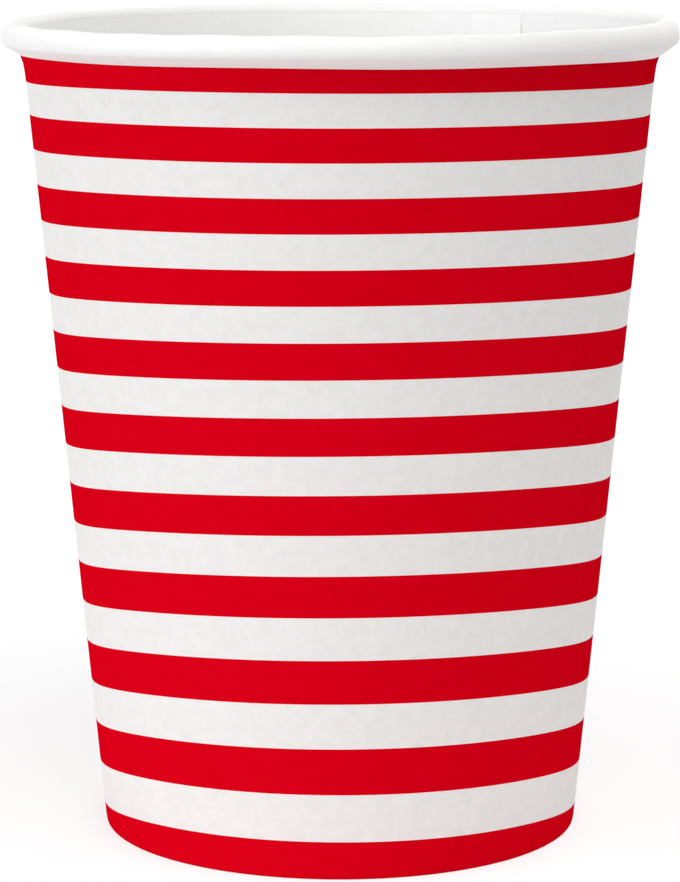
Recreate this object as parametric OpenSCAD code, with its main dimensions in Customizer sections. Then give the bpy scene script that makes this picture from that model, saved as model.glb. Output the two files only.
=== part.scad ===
// Paper cup: a printed board wall with a lapped seam and a rolled rim, folded in at the
// foot round the skirt of a recessed board base.
// Millimetres. Z is the cup's axis, the foot stands on Z = 0 and the front faces -Y.

/* [Cup] */
// Outside diameter of the rolled rim
rim_d = 80; // [70:0.5:95]
// Outside diameter of the wall at the table
foot_d = 57; // [45:0.5:64]
// Height from the table to the top of the rim
cup_h = 97; // [75:0.5:130]

/* [Board] */
// Thickness of the wall's board
wall_t = 0.35; // [0.25:0.01:0.5]
// Thickness of the base's board
base_t = 0.3; // [0.2:0.01:0.5]
// Clearance on each side of the base's skirt
skirt_gap = 0.05; // [0.02:0.01:0.1]

/* [Rim] */
// How far the roll stands out from the wall below it
rim_w = 2.6; // [2.3:0.05:3.5]
// Height of the roll
rim_h = 3.85; // [3.6:0.05:5]
// Radius of the roll over the top of the wall
rim_top_r = 1.2; // [0.9:0.05:1.3]
// Radius of the bend where the roll's side turns in to the wall
hem_r = 0.8; // [0.5:0.05:1]
// Angle below level at which that bend starts
hem_start = 12; // [5:1:20]
// Clearance between the roll's end and the wall
roll_gap = 0.05; // [0.03:0.01:0.15]

/* [Seam] */
// Direction of the inner ply's cut edge, anticlockwise from +X
seam_at = 52; // [0:1:359]
// Width of the overlap under the rim
lap_w = 7.5; // [5:0.5:10]
// Depth by which sealed board and ink key into the board under them
bond = 0.03; // [0.02:0.01:0.1]
// Distance of the inner ply from the base and from the turn of the rim
lap_clear = 0.3; // [0.2:0.1:2]

/* [Base] */
// Height of the base's upper side above the table
base_z = 7; // [6.5:0.5:12]
// Outside radius of the bend from the base to its skirt
base_bend_r = 0.9; // [0.6:0.1:1.5]
// Height of the wall's edge that is folded up behind the skirt
fold_h = 5.5; // [3:0.25:6]

/* [Print] */
// Number of red stripes
stripes = 11; // [5:1:17]
// Distance from the top of the rim to the first stripe's lower edge
print_top = 6.1; // [5.5:0.1:9]
// Height of the last stripe's upper edge above the table
print_foot = 4.65; // [2:0.05:8]
// Width of the lowest whole band over that of the highest
stripe_growth = 1.47; // [1:0.01:2]
// How late down the wall the bands widen
stripe_lag = 1.81; // [1:0.01:2.5]
// Thickness of the ink on the board
ink_t = 0.02; // [0.01:0.005:0.03]

/* [Hidden] */
$fn = 180;
arc_steps = 12;

paper = "white";
ink = [0.84, 0, 0.1];

// The wall's outer face runs straight from the foot to the neck under the roll
rim_r = rim_d / 2;
foot_r = foot_d / 2;
neck_r = rim_r - rim_w;
neck_z = cup_h - rim_h;
wall_slope = (neck_r - foot_r) / neck_z;
wall_lean = atan(wall_slope);
wall_x = wall_t / cos(wall_lean);
base_x = base_t / cos(wall_lean);

// The fold turns under the skirt in a pocket that clears the skirt on each side
pocket_x = base_x + 2 * skirt_gap;
fold_r = wall_x;

// The roll turns over the top on one arc and comes down outside on a wider one
roll_dir = 180 - wall_lean;
top_c = [outer(cup_h - rim_top_r) - wall_x + rim_top_r / cos(wall_lean), cup_h - rim_top_r];
spare_w = rim_r - top_c.x - rim_top_r;
spare_h = rim_h - 2 * rim_top_r;
roll_ratio = spare_w / spare_h;
roll_turn = atan(roll_ratio) + acos((1 - roll_ratio) / sqrt(1 + roll_ratio ^ 2));
side_extra = spare_h / (1 + sin(roll_turn));
side_r = rim_top_r + side_extra;
side_c = top_c - side_extra * [cos(roll_turn), sin(roll_turn)];

// Below its side the roll bends and slants in to a cut end that stands along the wall
hem_c = side_c + (side_r - hem_r) * [cos(hem_start), -sin(hem_start)];
tip = [neck_r + roll_gap, neck_z];
tip_off = tip - hem_c;
hem_end = acos(hem_r / norm(tip_off)) - atan2(-tip_off.y, tip_off.x);
tip_h = wall_t / cos(90 + hem_end);
tip_in = tip + tip_h * [wall_slope, 1];

// The inner ply of the seam stands in by its own thickness, between the base and the roll
lap_a = lap_w / neck_r * 180 / PI;
lap_low = base_z + lap_clear;
lap_high = top_c.y - lap_clear;

// Bands alternate white and red between the first stripe and the last
bands = 2 * stripes - 3;
band_weights = [for (i = [0 : bands - 1]) 1 + (stripe_growth - 1) * (i / (bands - 1)) ^ stripe_lag];
band_unit = (cup_h - print_top - print_foot) / total(band_weights, bands);

// Sum of a list's first n values
function total(list, n) = n == 0 ? 0 : list[n - 1] + total(list, n - 1);

// Radius of the wall's outer face at a height
function outer(z) = foot_r + wall_slope * z;

// Height of the edge below the first n bands
function band_edge(n) = cup_h - print_top - band_unit * total(band_weights, n);

// Points along an arc from one direction to another
function arc(centre, radius, from, to) = [
    for (i = [0 : arc_steps])
        let (a = from + (to - from) * i / arc_steps)
        centre + radius * [cos(a), sin(a)]
];

// Layer along the wall's slope between two heights, set in from the wall's outer face
module strip(inset, width, z_low, z_high) {
    polygon([
        [outer(z_low) - inset - width, z_low],
        [outer(z_low) - inset, z_low],
        [outer(z_high) - inset, z_high],
        [outer(z_high) - inset - width, z_high],
    ]);
}

// Wall's whole section: up from the fold behind the skirt, round the foot and over the roll
module sheet_section() {
    out_c = [outer(fold_r) - wall_x, fold_r];
    in_c = out_c - [pocket_x, 0];
    polygon([
        [outer(fold_h) - wall_x - pocket_x, fold_h],
        [outer(fold_h) - 2 * wall_x - pocket_x, fold_h],
        each arc(in_c, fold_r, 180, 270),
        each arc(out_c, fold_r, 270, 360),
        each arc(top_c, rim_top_r - wall_t, roll_dir, roll_turn),
        each arc(side_c, side_r - wall_t, roll_turn, -hem_start),
        each arc(hem_c, hem_r - wall_t, -hem_start, hem_end),
        tip_in,
        tip,
        each arc(hem_c, hem_r, hem_end, -hem_start),
        each arc(side_c, side_r, -hem_start, roll_turn),
        each arc(top_c, rim_top_r, roll_turn, roll_dir),
        out_c,
        in_c,
    ]);
}

// Ink of the red stripes, from the roll down to the foot
module print_section() {
    for (i = [1 : 2 : bands - 1])
        strip(-ink_t, ink_t + bond, band_edge(i + 1), band_edge(i));
    strip(-ink_t, ink_t + bond, band_edge(0), neck_z);
    strip(-ink_t, ink_t + bond, fold_r + ink_t, band_edge(bands));
}

// Printed wall, lapped at the seam, rolled at the rim and folded at the foot
module sidewall() {
    color(paper) {
        rotate_extrude() sheet_section();
        rotate(seam_at)
            rotate_extrude(angle = lap_a)
                strip(wall_x - bond, wall_x, lap_low, lap_high);
    }
    color(ink) rotate_extrude() print_section();
}

// Board disc with its edge turned down into a skirt
module base() {
    skirt_in = wall_x + skirt_gap;
    skirt_z = fold_r + skirt_gap;
    bend_c = [outer(base_z - base_bend_r) - skirt_in - base_bend_r, base_z - base_bend_r];
    color(paper) rotate_extrude()
        polygon([
            [0, base_z - base_t],
            each arc(bend_c, base_bend_r - base_t, 90, 0),
            [outer(skirt_z) - skirt_in - base_x, skirt_z],
            [outer(skirt_z) - skirt_in, skirt_z],
            each arc(bend_c, base_bend_r, 0, 90),
            [0, base_z],
        ]);
}

sidewall();
base();
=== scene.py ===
import math

import bmesh
import bpy
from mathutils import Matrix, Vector


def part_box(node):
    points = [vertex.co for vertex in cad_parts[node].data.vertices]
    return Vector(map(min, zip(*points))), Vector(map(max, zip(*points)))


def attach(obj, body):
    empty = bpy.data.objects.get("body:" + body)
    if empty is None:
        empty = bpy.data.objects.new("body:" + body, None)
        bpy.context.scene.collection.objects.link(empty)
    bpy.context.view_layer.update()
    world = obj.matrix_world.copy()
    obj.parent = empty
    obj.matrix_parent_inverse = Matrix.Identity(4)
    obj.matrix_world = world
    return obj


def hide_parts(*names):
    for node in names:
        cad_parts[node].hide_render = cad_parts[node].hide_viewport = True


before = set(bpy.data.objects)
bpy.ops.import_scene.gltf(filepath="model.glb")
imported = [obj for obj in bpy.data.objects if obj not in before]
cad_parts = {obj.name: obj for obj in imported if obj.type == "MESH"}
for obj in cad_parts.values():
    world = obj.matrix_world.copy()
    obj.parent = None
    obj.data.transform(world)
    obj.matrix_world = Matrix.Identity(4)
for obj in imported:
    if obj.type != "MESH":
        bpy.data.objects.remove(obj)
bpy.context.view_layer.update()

# Sizes are in millimetres here, and turned to metres where the mesh is made.
MM = 0.001
FULL_TURN = 2 * math.pi
FRONT = 1.5 * math.pi               # direction of the side that the camera faces

# The cup's form, as in the solids
wall_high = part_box("sidewall")[1]
CUP_H = wall_high[2] / MM
RIM_R = wall_high[0] / MM
FOOT_R = 28.5
RIM_W = 2.6
RIM_H = 3.85
RIM_TOP_R = 1.2                     # bend at the top of the roll
HEM_R = 0.8                         # bend at the roll's lower outer edge
HEM_START = math.radians(12)        # how far below level that bend starts
ROLL_GAP = 0.05
WALL_T = 0.35
BASE_T = 0.3
SKIRT_GAP = 0.05
FOLD_H = 5.5
SEAM_AT = math.radians(52)          # direction of the inner ply's cut edge
LAP_W = 7.5

# Stripes
STRIPES = 11
PRINT_TOP = 6.1                     # from the top down to the first red stripe's lower edge
PRINT_FOOT = 4.65                   # from the foot up to the last red stripe's upper edge
STRIPE_GROWTH = 1.47                # height of the lowest full band against the highest
STRIPE_LAG = 1.81                   # above 1, most of the growth is near the foot

# The print's bow: it dips at the two sides, the most at middle height
PRINT_BOW = 3.45
BOW_RISE = 0.7                      # below 1, the deepest bow is nearer the foot
BOW_POWER = 1.3
FOOT_BOW = 1.2                      # more bow at the foot
FOOT_BOW_REACH = 5
NECK_BOW = 0.8                      # more bow under the roll
NECK_BOW_REACH = 6
WIDE_DIP = 0.5                      # share of the bow that spreads widely round each side
SIDE_DIP = 0.25                     # share that stays closer to each side
END_DROP = 1.1                      # further drop at the very sides
END_FADE = 0.8                      # share of that drop that is lost from foot to top
END_POWER = 4
TOP_DROP = 0.35                     # drop of the first stripe all round
TOP_DROP_REACH = 3
PRINT_TILT = 0.5                    # rise to the right, the most at middle height
TILT_BACK = 0.4                     # share of that rise that is taken off at all heights
PRINT_SKEW = 0.25                   # climb of the print over the whole turn

# The roll's tilt and waviness
RIM_TILT = 0.22                     # rise of the top to the right
HEM_TILT = 0.05                     # rise of the lower edge to the right
HEM_LEAN = 0.25                     # rise of the lower edge to the front
HEM_LIFT = 0.02
HEM_SAG = 0.4                       # sag of the lower edge at the right
SAG_POWER = 8
RIM_WAVE = 0.07
SLOW_WAVES = 3
SLOW_START = 1.0
MID_WAVES = 7
MID_SHARE = 0.6
FINE_WAVES = 19
FINE_SHARE = 0.7
FINE_DRIFT = 2                      # how unevenly the fine waves are spaced

# Other fine form that the solids leave out
CLIMB_A = math.radians(20)          # turn in which the outer ply climbs onto the lap
SINK_A = math.radians(1.6)          # turn in which the inner ply comes back out after the lap
SINK_SHARE = 0.4                    # share of the lap's step that the inner ply takes
PLY_GAP = 0.03
NECK_FLARE = 0.45                   # flare of the wall under the roll
NECK_REACH = 0.8
FOOT_TURN = 0.9                     # height of the foot's rounded edge
FOOT_TUCK = 0.12
KNURLS = 90
KNURL_DEPTH = 0.08
NECK_EASE = 2                       # height under the roll in which the print's shift fades
FOOT_EASE = 4                       # height over the foot in which shift and lap fade
RIM_EASE = 3                        # height under the roll that follows its lower edge

# Mesh density
TURN_STEPS = 360
LAP_STEPS = 12
COLUMNS = TURN_STEPS + LAP_STEPS
BAND_STEPS = 3
ARC_STEPS = 10
SLANT_STEPS = 4
LEG_STEPS = 4
SHARP_A = math.radians(45)          # edges that bend more are shaded as sharp

# Shape derived from the sizes, as in the solids
NECK_R = RIM_R - RIM_W
NECK_Z = CUP_H - RIM_H
SLOPE = (NECK_R - FOOT_R) / NECK_Z
LEAN = math.atan(SLOPE)
WALL_X = WALL_T / math.cos(LEAN)
WALL_START = 1.5 * WALL_X           # height of the wall's first row over the foot's turn
POCKET_X = BASE_T / math.cos(LEAN) + 2 * SKIRT_GAP
LAP_A = LAP_W / NECK_R
LAP_COLUMNS = round(TURN_STEPS * LAP_A / FULL_TURN)

# The wall's materials, in the order of its slots. LINING, LAP and ROLL are one white face in lighter
# and darker tones, as painted light and shade.
BOARD, INK, LINING, LAP, ROLL = range(5)

# Board surface: scales are per metre, and the depth is in metres
CLOUD_SCALE = 760.0                 # cloudy formation
CLOUD_SPAN = (0.3, 0.7)             # noise values that get the darker and the lighter tone
SHEEN_SPREAD = 0.05
FIBRE_SCALE = 3200.0
FIBRE_DEPTH = 0.00003
FIBRE_STRENGTH = 0.12

# Studio: sizes and places are in metres
FLOOR_HALF = 6.0
FLOOR_SEEN = (0.3, 0.3, 0.3, 1)     # part of the visible floor that takes light and shadow
LIFT_AT = (0.08, 0.5)               # distances between which the floor's white lift grows
LIFT_LEVEL = (0.71, 1.0)
PAINTED_POOL_AT = (0.06, 0.3)               # distances between which the floor's painted pool of light falls off, its colour for bounced light going from lighter to darker
PAINTED_POOL_TONE = (0.97, 0.6)
WORLD_TINT = (1, 0.985, 0.97, 1)
WORLD_LEVEL = (0.5, 1.0)            # as a light, and as the background that is seen
LIGHT_AIM = Vector((0, 0, 0.05))
CAMERA_SPOT = (0, -0.42774, 0.11879)
CAMERA_DOWN = 9.611                 # degrees below level
CAMERA_LENS = 146.98
CAMERA_SENSOR = 36.0


def outer(z):
    """Radius of the wall's outer face at a height."""
    return FOOT_R + SLOPE * z


def smooth(x):
    """Eases from 0 to 1."""
    x = min(max(x, 0.0), 1.0)
    return x * x * (3 - 2 * x)


def arc(centre, radius, start, end):
    """Points along an arc, from one direction to another."""
    turns = [start + (end - start) * i / ARC_STEPS for i in range(ARC_STEPS + 1)]
    return [(centre[0] + radius * math.cos(a), centre[1] + radius * math.sin(a)) for a in turns]


def roll_line(inset):
    """The roll's section from the wall over the top, down the side and in to its cut end."""
    up = math.pi - LEAN
    top_z = CUP_H - RIM_TOP_R
    top_c = (outer(top_z) - WALL_X + RIM_TOP_R / math.cos(LEAN), top_z)
    spare_h = RIM_H - 2 * RIM_TOP_R
    ratio = (RIM_R - top_c[0] - RIM_TOP_R) / spare_h
    turn = math.atan(ratio) + math.acos((1 - ratio) / math.hypot(1, ratio))
    extra = spare_h / (1 + math.sin(turn))
    side_c = (top_c[0] - extra * math.cos(turn), top_c[1] - extra * math.sin(turn))
    side_r = RIM_TOP_R + extra
    reach = side_r - HEM_R
    hem_c = (side_c[0] + reach * math.cos(HEM_START), side_c[1] - reach * math.sin(HEM_START))
    tip = (NECK_R + NECK_FLARE + ROLL_GAP, NECK_Z)
    off = (tip[0] - hem_c[0], tip[1] - hem_c[1])
    hem_end = math.acos(HEM_R / math.hypot(*off)) + math.atan2(off[1], off[0])
    rise = inset / math.sin(-hem_end)
    line = arc(top_c, RIM_TOP_R - inset, up, turn)
    line += arc(side_c, side_r - inset, turn, -HEM_START)[1:]
    line += arc(hem_c, HEM_R - inset, -HEM_START, hem_end)[1:]
    start = line[-1]
    stop = (tip[0] + SLOPE * rise, tip[1] + rise)
    for i in range(1, SLANT_STEPS + 1):
        line.append(tuple(p + (q - p) * i / SLANT_STEPS for p, q in zip(start, stop)))
    return line


def stripe_edges():
    """Heights of the edges between bands, from the first red stripe down to the last."""
    bands = 2 * STRIPES - 3
    weights = [1 + (STRIPE_GROWTH - 1) * (i / (bands - 1)) ** STRIPE_LAG for i in range(bands)]
    unit = (CUP_H - PRINT_TOP - PRINT_FOOT) / sum(weights)
    edges = [CUP_H - PRINT_TOP]
    for weight in weights:
        edges.append(edges[-1] - unit * weight)
    return edges


def wall_rows():
    """Heights of the wall's rows from the foot up, and the band of each step between rows."""
    marks = [NECK_Z] + stripe_edges() + [WALL_START]
    marks.reverse()
    rows, bands = [marks[0]], []
    for band, (low, high) in enumerate(zip(marks, marks[1:])):
        for i in range(1, BAND_STEPS + 1):
            rows.append(low + (high - low) * i / BAND_STEPS)
            bands.append(band)
    return rows, bands


def print_shift(z, angle):
    """How far the print sits off its height: it dips a little at the two sides and lies askew."""
    bow = PRINT_BOW * math.sin(math.pi * (z / CUP_H) ** BOW_RISE) ** BOW_POWER
    bow += FOOT_BOW * math.exp(-z / FOOT_BOW_REACH) + NECK_BOW * math.exp((z - NECK_Z) / NECK_BOW_REACH)
    sideways = math.cos(angle) ** 2
    dip = WIDE_DIP * sideways + SIDE_DIP * sideways ** 2
    askew = PRINT_TILT * (math.sin(math.pi * z / CUP_H) - TILT_BACK)
    drop = END_DROP * (1 - END_FADE * z / CUP_H) * sideways ** END_POWER
    drop += TOP_DROP * math.exp((z - NECK_Z) / TOP_DROP_REACH)
    return askew * math.cos(angle) - bow * dip - drop


def rim_wave(angle, high):
    """Slight tilt and waviness of the rolled rim, from its lower edge (0) to its top (1)."""
    low_edge = HEM_TILT * math.cos(angle) - HEM_LEAN * math.sin(angle) + HEM_LIFT
    low_edge -= HEM_SAG * max(math.cos(angle), 0) ** SAG_POWER
    top = RIM_TILT * math.cos(angle)
    ripple = math.sin(SLOW_WAVES * angle + SLOW_START) + MID_SHARE * math.cos(MID_WAVES * angle)
    drift = FINE_DRIFT * math.sin(SLOW_WAVES * angle)
    ripple += FINE_SHARE * high * math.sin(FINE_WAVES * angle + drift)
    return low_edge + (top - low_edge) * high + RIM_WAVE * ripple


def foot_tuck(z):
    """How far the foot's rounded edge is drawn in at a height."""
    return FOOT_TUCK * max(1 - z / FOOT_TURN, 0) ** 2


def section():
    """The board's section as a closed loop of (zone, radius, height), printed face first."""
    rows, bands = wall_rows()
    down = 1.5 * math.pi
    out_c = (outer(WALL_X) - WALL_X, WALL_X)
    in_c = (out_c[0] - POCKET_X, WALL_X)
    leg_z = [FOLD_H - (FOLD_H - WALL_X) * i / LEG_STEPS for i in range(LEG_STEPS)]
    loop = [("leg", outer(z) - 2 * WALL_X - POCKET_X, z) for z in leg_z]
    foot = arc(in_c, WALL_X, math.pi, down) + arc(out_c, WALL_X, down, FULL_TURN)
    loop += [("fold", r, z) for r, z in foot]
    loop += [("print", outer(z), z) for z in rows]
    loop += [("roll", r, z) for r, z in roll_line(WALL_T) + roll_line(0)[::-1]]
    loop += [("lining", outer(z) - WALL_X, z) for z in reversed(rows)]
    loop += [("fold", *out_c), ("fold", *in_c), ("fold", outer(FOLD_H) - WALL_X - POCKET_X, FOLD_H)]
    return loop, bands


def zone_rows(loop, zone):
    """Indices of a zone's rows."""
    return [i for i, row in enumerate(loop) if row[0] == zone]


def step_kinds(loop, bands):
    """Material of the step from each row of the section to the next."""
    first = zone_rows(loop, "print")[0]
    kinds = []
    for i, row in enumerate(loop):
        zones = {row[0], loop[(i + 1) % len(loop)][0]}
        if zones == {"print"}:
            kinds.append(INK if bands[i - first] % 2 == 0 else BOARD)
        elif i < first:
            kinds.append(INK if row[0] == "fold" else BOARD)
        else:
            # Steps within the roll take the darker roll tone, which is painted shade.
            kinds.append(ROLL if zones == {"roll"} else LINING)
    return kinds


def place(zone, r, z, angle, turned):
    """A point of the section at a direction; turned is how far round from the inner ply's edge."""
    step = WALL_X + PLY_GAP
    climb = (1 - SINK_SHARE) * step * smooth(1 + (turned - FULL_TURN) / CLIMB_A)
    sink = SINK_SHARE * step * (1 - smooth((turned - LAP_A) / SINK_A))
    free = smooth((NECK_Z - z) / NECK_EASE) * smooth(z / FOOT_EASE)
    if zone == "print":
        skew = PRINT_SKEW * (turned - (FRONT - SEAM_AT)) / FULL_TURN
        z += (print_shift(z, angle) + skew) * free
        z += rim_wave(angle, 0) * smooth(1 - (NECK_Z - z) / RIM_EASE)
        flare = NECK_FLARE * math.exp(min(z - NECK_Z, 0) / NECK_REACH)
        r = outer(z) + flare + climb - sink * smooth(z / FOOT_EASE) - foot_tuck(z)
    elif zone == "lining":
        r += climb - sink * smooth(z / FOOT_EASE)
    elif zone == "roll":
        z += rim_wave(angle, (z - NECK_Z) / RIM_H)
        r -= sink
    elif zone == "fold":
        r -= foot_tuck(z)
    elif zone == "leg":
        r -= KNURL_DEPTH * (0.5 + 0.5 * math.cos(KNURLS * angle))
    return Vector((r * math.cos(angle), r * math.sin(angle), z)) * MM


def board_points(bm, loop, ply):
    """Points by column and row: the whole section for a full turn, then only the outer ply's lap."""
    grid = {}
    for j in range(COLUMNS + 1):
        lap = max(j - TURN_STEPS, 0)
        turned = FULL_TURN * min(j, TURN_STEPS) / TURN_STEPS + LAP_A * lap / LAP_STEPS
        for i, row in enumerate(loop):
            if j < TURN_STEPS or i in ply:
                grid[j, i] = bm.verts.new(place(*row, SEAM_AT + turned, turned))
    return grid


def turn_faces(kinds):
    """Corners and material of the faces of the full turn."""
    for j in range(TURN_STEPS):
        for i, kind in enumerate(kinds):
            n = (i + 1) % len(kinds)
            # The inner ply's lap strip takes the lighter lap tone, which is painted light.
            inner_ply = kind == LINING and j < LAP_COLUMNS
            yield ((j, i), (j + 1, i), (j + 1, n), (j, n)), LAP if inner_ply else kind


def lap_faces(kinds, printed, lining):
    """Corners and material of the faces of the outer ply's lap: both sides, then foot and top."""
    for j in range(TURN_STEPS, COLUMNS):
        for i in printed[:-1] + lining[:-1]:
            yield ((j, i), (j + 1, i), (j + 1, i + 1), (j, i + 1)), kinds[i]
        for a, b in ((lining[-1], printed[0]), (printed[-1], lining[0])):
            yield ((j, a), (j + 1, a), (j + 1, b), (j, b)), BOARD


def edge_faces(printed, lining):
    """Corners and material of both plies' cut edges, and of the corners where the lap starts."""
    steps = zip(printed, printed[1:], lining[-2::-1], lining[::-1])
    for a, b, c, d in steps:
        yield ((0, a), (0, b), (0, c), (0, d)), BOARD
        yield ((COLUMNS, a), (COLUMNS, d), (COLUMNS, c), (COLUMNS, b)), BOARD
    m = TURN_STEPS
    foot = (printed[0], lining[-1], printed[0] - 1, lining[-1] + 1)
    top = (printed[-1], lining[0], printed[-1] + 1, lining[0] - 1)
    for a, b, out, back in (foot, top):
        yield ((0, out), (0, a), (m, a)), BOARD
        yield ((0, a), (0, b), (m, b), (m, a)), BOARD
        yield ((0, b), (0, back), (m, b)), BOARD


def add_face(bm, corners, kind):
    """Adds a smooth face, without the corners that repeat."""
    corners = list(dict.fromkeys(corners))
    if len(corners) > 2:
        face = bm.faces.new(corners)
        face.smooth = True
        face.material_index = kind


def build_sidewall(materials):
    """The wall's board: one ribbon wrapped round the cup, with its lap, roll and fold."""
    loop, bands = section()
    printed = zone_rows(loop, "print")
    lining = zone_rows(loop, "lining")
    kinds = step_kinds(loop, bands)
    bm = bmesh.new()
    grid = board_points(bm, loop, set(printed + lining))
    for faces in (turn_faces(kinds), lap_faces(kinds, printed, lining), edge_faces(printed, lining)):
        for keys, kind in faces:
            add_face(bm, [grid.get(key, grid[0, key[1]]) for key in keys], kind)
    bmesh.ops.recalc_face_normals(bm, faces=bm.faces)
    mesh = bpy.data.meshes.new("sidewall_board")
    bm.to_mesh(mesh)
    bm.free()
    mesh.set_sharp_from_angle(angle=SHARP_A)
    for material in materials:
        mesh.materials.append(material)
    board = bpy.data.objects.new("sidewall_board", mesh)
    bpy.context.collection.objects.link(board)
    return board


def node(tree, kind, **inputs):
    """Adds a shader node and sets its inputs by name."""
    made = tree.nodes.new(kind)
    for name, value in inputs.items():
        made.inputs[name.replace("_", " ")].default_value = value
    return made


def remap(tree, value, span, result):
    """Carries a value over from one span to another, and holds it at the ends."""
    made = node(tree, "ShaderNodeMapRange", From_Min=span[0], From_Max=span[1])
    made.inputs["To Min"].default_value = result[0]
    made.inputs["To Max"].default_value = result[1]
    tree.links.new(value, made.inputs["Value"])
    return made.outputs["Result"]


def board_material(name, dark, light, rough, gloss):
    """Coated board: a faint cloudy formation in the colour, and fine fibres in the relief."""
    material = bpy.data.materials.new(name)
    material.use_nodes = True
    tree = material.node_tree
    link = tree.links.new
    shader = tree.nodes["Principled BSDF"]
    shader.inputs["Specular IOR Level"].default_value = gloss
    place_at = node(tree, "ShaderNodeTexCoord").outputs["Object"]
    cloud = node(tree, "ShaderNodeTexNoise", Scale=CLOUD_SCALE, Detail=4.0, Roughness=0.6)
    tint = node(tree, "ShaderNodeValToRGB")
    for element, position, colour in zip(tint.color_ramp.elements, CLOUD_SPAN, (dark, light)):
        element.position = position
        element.color = (*colour, 1)
    sheen = remap(tree, cloud.outputs["Fac"], (0, 1), (rough - SHEEN_SPREAD, rough + SHEEN_SPREAD))
    fibres = node(tree, "ShaderNodeTexNoise", Scale=FIBRE_SCALE, Detail=3.0, Roughness=0.55)
    relief = node(tree, "ShaderNodeBump", Strength=FIBRE_STRENGTH, Distance=FIBRE_DEPTH)
    link(place_at, cloud.inputs["Vector"])
    link(place_at, fibres.inputs["Vector"])
    link(cloud.outputs["Fac"], tint.inputs["Fac"])
    link(tint.outputs["Color"], shader.inputs["Base Color"])
    link(sheen, shader.inputs["Roughness"])
    link(fibres.outputs["Fac"], relief.inputs["Height"])
    link(relief.outputs["Normal"], shader.inputs["Normal"])
    return material


def viewed(tree):
    """1 where a ray comes from the camera, a reflection or a clear piece."""
    path = node(tree, "ShaderNodeLightPath")
    total = path.outputs["Is Camera Ray"]
    for name in ("Is Glossy Ray", "Is Transmission Ray"):
        most = node(tree, "ShaderNodeMath")
        most.operation = "MAXIMUM"
        tree.links.new(total, most.inputs[0])
        tree.links.new(path.outputs[name], most.inputs[1])
        total = most.outputs[0]
    return total


def floor_material():
    """Pale floor that shows white to the camera but keeps the cup's shadow."""
    material = bpy.data.materials.new("studio_floor")
    material.use_nodes = True
    tree = material.node_tree
    tree.nodes.clear()
    link = tree.links.new
    away = node(tree, "ShaderNodeVectorMath")
    away.operation = "LENGTH"
    link(node(tree, "ShaderNodeTexCoord").outputs["Object"], away.inputs[0])
    distance = away.outputs["Value"]
    lit = node(tree, "ShaderNodeBsdfDiffuse")
    # Painted pool of light: the floor's colour for bounced light is lighter near the cup and darker
    # farther out.
    link(remap(tree, distance, PAINTED_POOL_AT, PAINTED_POOL_TONE), lit.inputs["Color"])
    seen = node(tree, "ShaderNodeBsdfDiffuse", Color=FLOOR_SEEN)
    lift = node(tree, "ShaderNodeEmission", Color=(1, 1, 1, 1))
    link(remap(tree, distance, LIFT_AT, LIFT_LEVEL), lift.inputs["Strength"])
    both = node(tree, "ShaderNodeAddShader")
    link(seen.outputs[0], both.inputs[0])
    link(lift.outputs[0], both.inputs[1])
    mix = node(tree, "ShaderNodeMixShader")
    link(viewed(tree), mix.inputs["Fac"])
    link(lit.outputs[0], mix.inputs[1])
    link(both.outputs[0], mix.inputs[2])
    out = node(tree, "ShaderNodeOutputMaterial")
    link(mix.outputs[0], out.inputs["Surface"])
    return material


def build_floor():
    """One large square under the cup."""
    mesh = bpy.data.meshes.new("floor")
    signs = ((-1, -1), (1, -1), (1, 1), (-1, 1))
    corners = [(x * FLOOR_HALF, y * FLOOR_HALF, 0) for x, y in signs]
    mesh.from_pydata(corners, [], [(0, 1, 2, 3)])
    mesh.materials.append(floor_material())
    floor = bpy.data.objects.new("floor", mesh)
    bpy.context.collection.objects.link(floor)


def build_world():
    """Soft light from all round, which shows as a white background."""
    world = bpy.data.worlds.new("studio")
    bpy.context.scene.world = world
    world.use_nodes = True
    tree = world.node_tree
    back = tree.nodes["Background"]
    back.inputs["Color"].default_value = WORLD_TINT
    tree.links.new(remap(tree, viewed(tree), (0, 1), WORLD_LEVEL), back.inputs["Strength"])


def area_light(name, spot, size, power, tint=(1, 1, 1)):
    """Soft square light that faces the cup's middle."""
    data = bpy.data.lights.new(name, "AREA")
    data.size = size
    data.energy = power
    data.color = tint
    light = bpy.data.objects.new(name, data)
    light.location = spot
    light.rotation_euler = (LIGHT_AIM - Vector(spot)).to_track_quat("-Z", "Y").to_euler()
    bpy.context.collection.objects.link(light)


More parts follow.
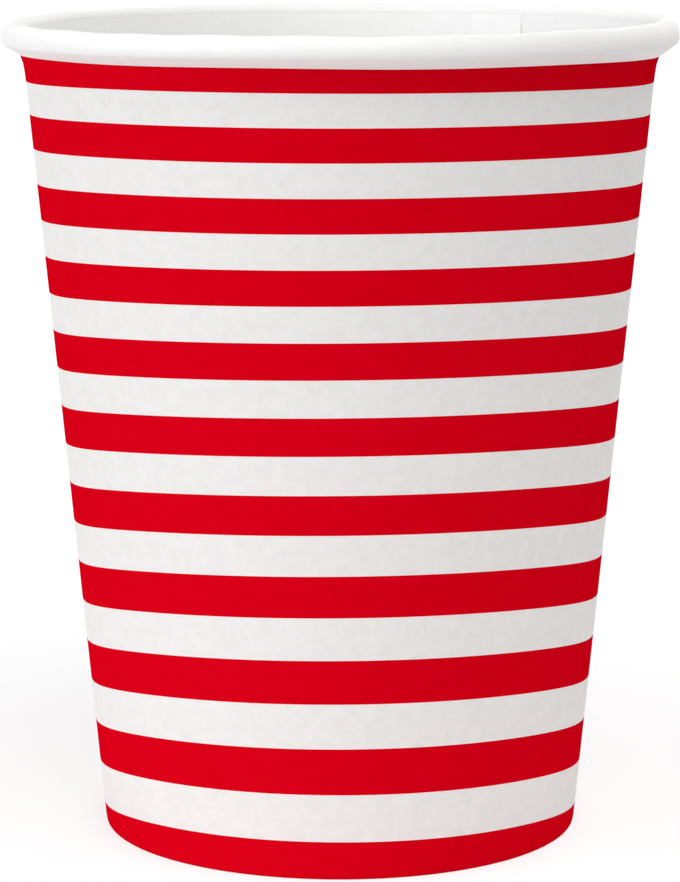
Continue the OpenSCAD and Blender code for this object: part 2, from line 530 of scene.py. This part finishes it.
def build_camera():
    """Camera at the photograph's place: just above the rim, looking a little down."""
    data = bpy.data.cameras.new("camera")
    data.sensor_width = CAMERA_SENSOR
    data.lens = CAMERA_LENS
    camera = bpy.data.objects.new("camera", data)
    camera.location = CAMERA_SPOT
    camera.rotation_euler = (math.radians(90 - CAMERA_DOWN), 0, 0)
    bpy.context.collection.objects.link(camera)
    bpy.context.scene.camera = camera


# Materials, in linear colours
board_mat = board_material("outer_board", dark=(0.772, 0.759, 0.749), light=(0.825, 0.812, 0.802),
                           rough=0.62, gloss=0.3)
ink_mat = board_material("red_print", dark=(0.615, 0.0, 0.0085), light=(0.655, 0.0, 0.0095),
                         rough=0.6, gloss=0.0)
# The lining is the inner face's white, set lighter than the outer board's: painted light on the cup's
# inside.
lit_lining_mat = board_material("lining", dark=(0.9, 0.9, 0.897), light=(0.93, 0.93, 0.927),
                            rough=0.5, gloss=0.3)
# The lap strip is a still lighter copy of the lining's white: painted light on the inner ply's lap.
lit_lap_mat = board_material("lap_lining_painted_light", dark=(0.918, 0.918, 0.915), light=(0.948, 0.948, 0.945),
                         rough=0.5, gloss=0.3)
# The roll is the lining's own face in a darker copy of its white: painted shade on the roll.
shaded_rim_mat = board_material("rim_painted_shade", dark=(0.842, 0.842, 0.838), light=(0.872, 0.872, 0.868),
                         rough=0.5, gloss=0.3)

# Side wall
board = build_sidewall([board_mat, ink_mat, lit_lining_mat, lit_lap_mat, shaded_rim_mat])
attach(board, "root")
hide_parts("sidewall")

# Base
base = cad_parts["base"]
base.data.materials.clear()
# The base's inside takes the lining's lighter white too: painted light.
base.data.materials.append(lit_lining_mat)

# Studio
build_floor()
build_world()
area_light("key", spot=(-0.93, -0.49, 0.33), size=0.9, power=6.5, tint=(0.96, 0.98, 1.0))
area_light("top", spot=(0.19, -0.44, 0.93), size=0.6, power=4.7)
area_light("back", spot=(0.5, 0.95, 0.6), size=0.9, power=2.2)
build_camera()
bpy.context.scene.view_settings.view_transform = "Standard"
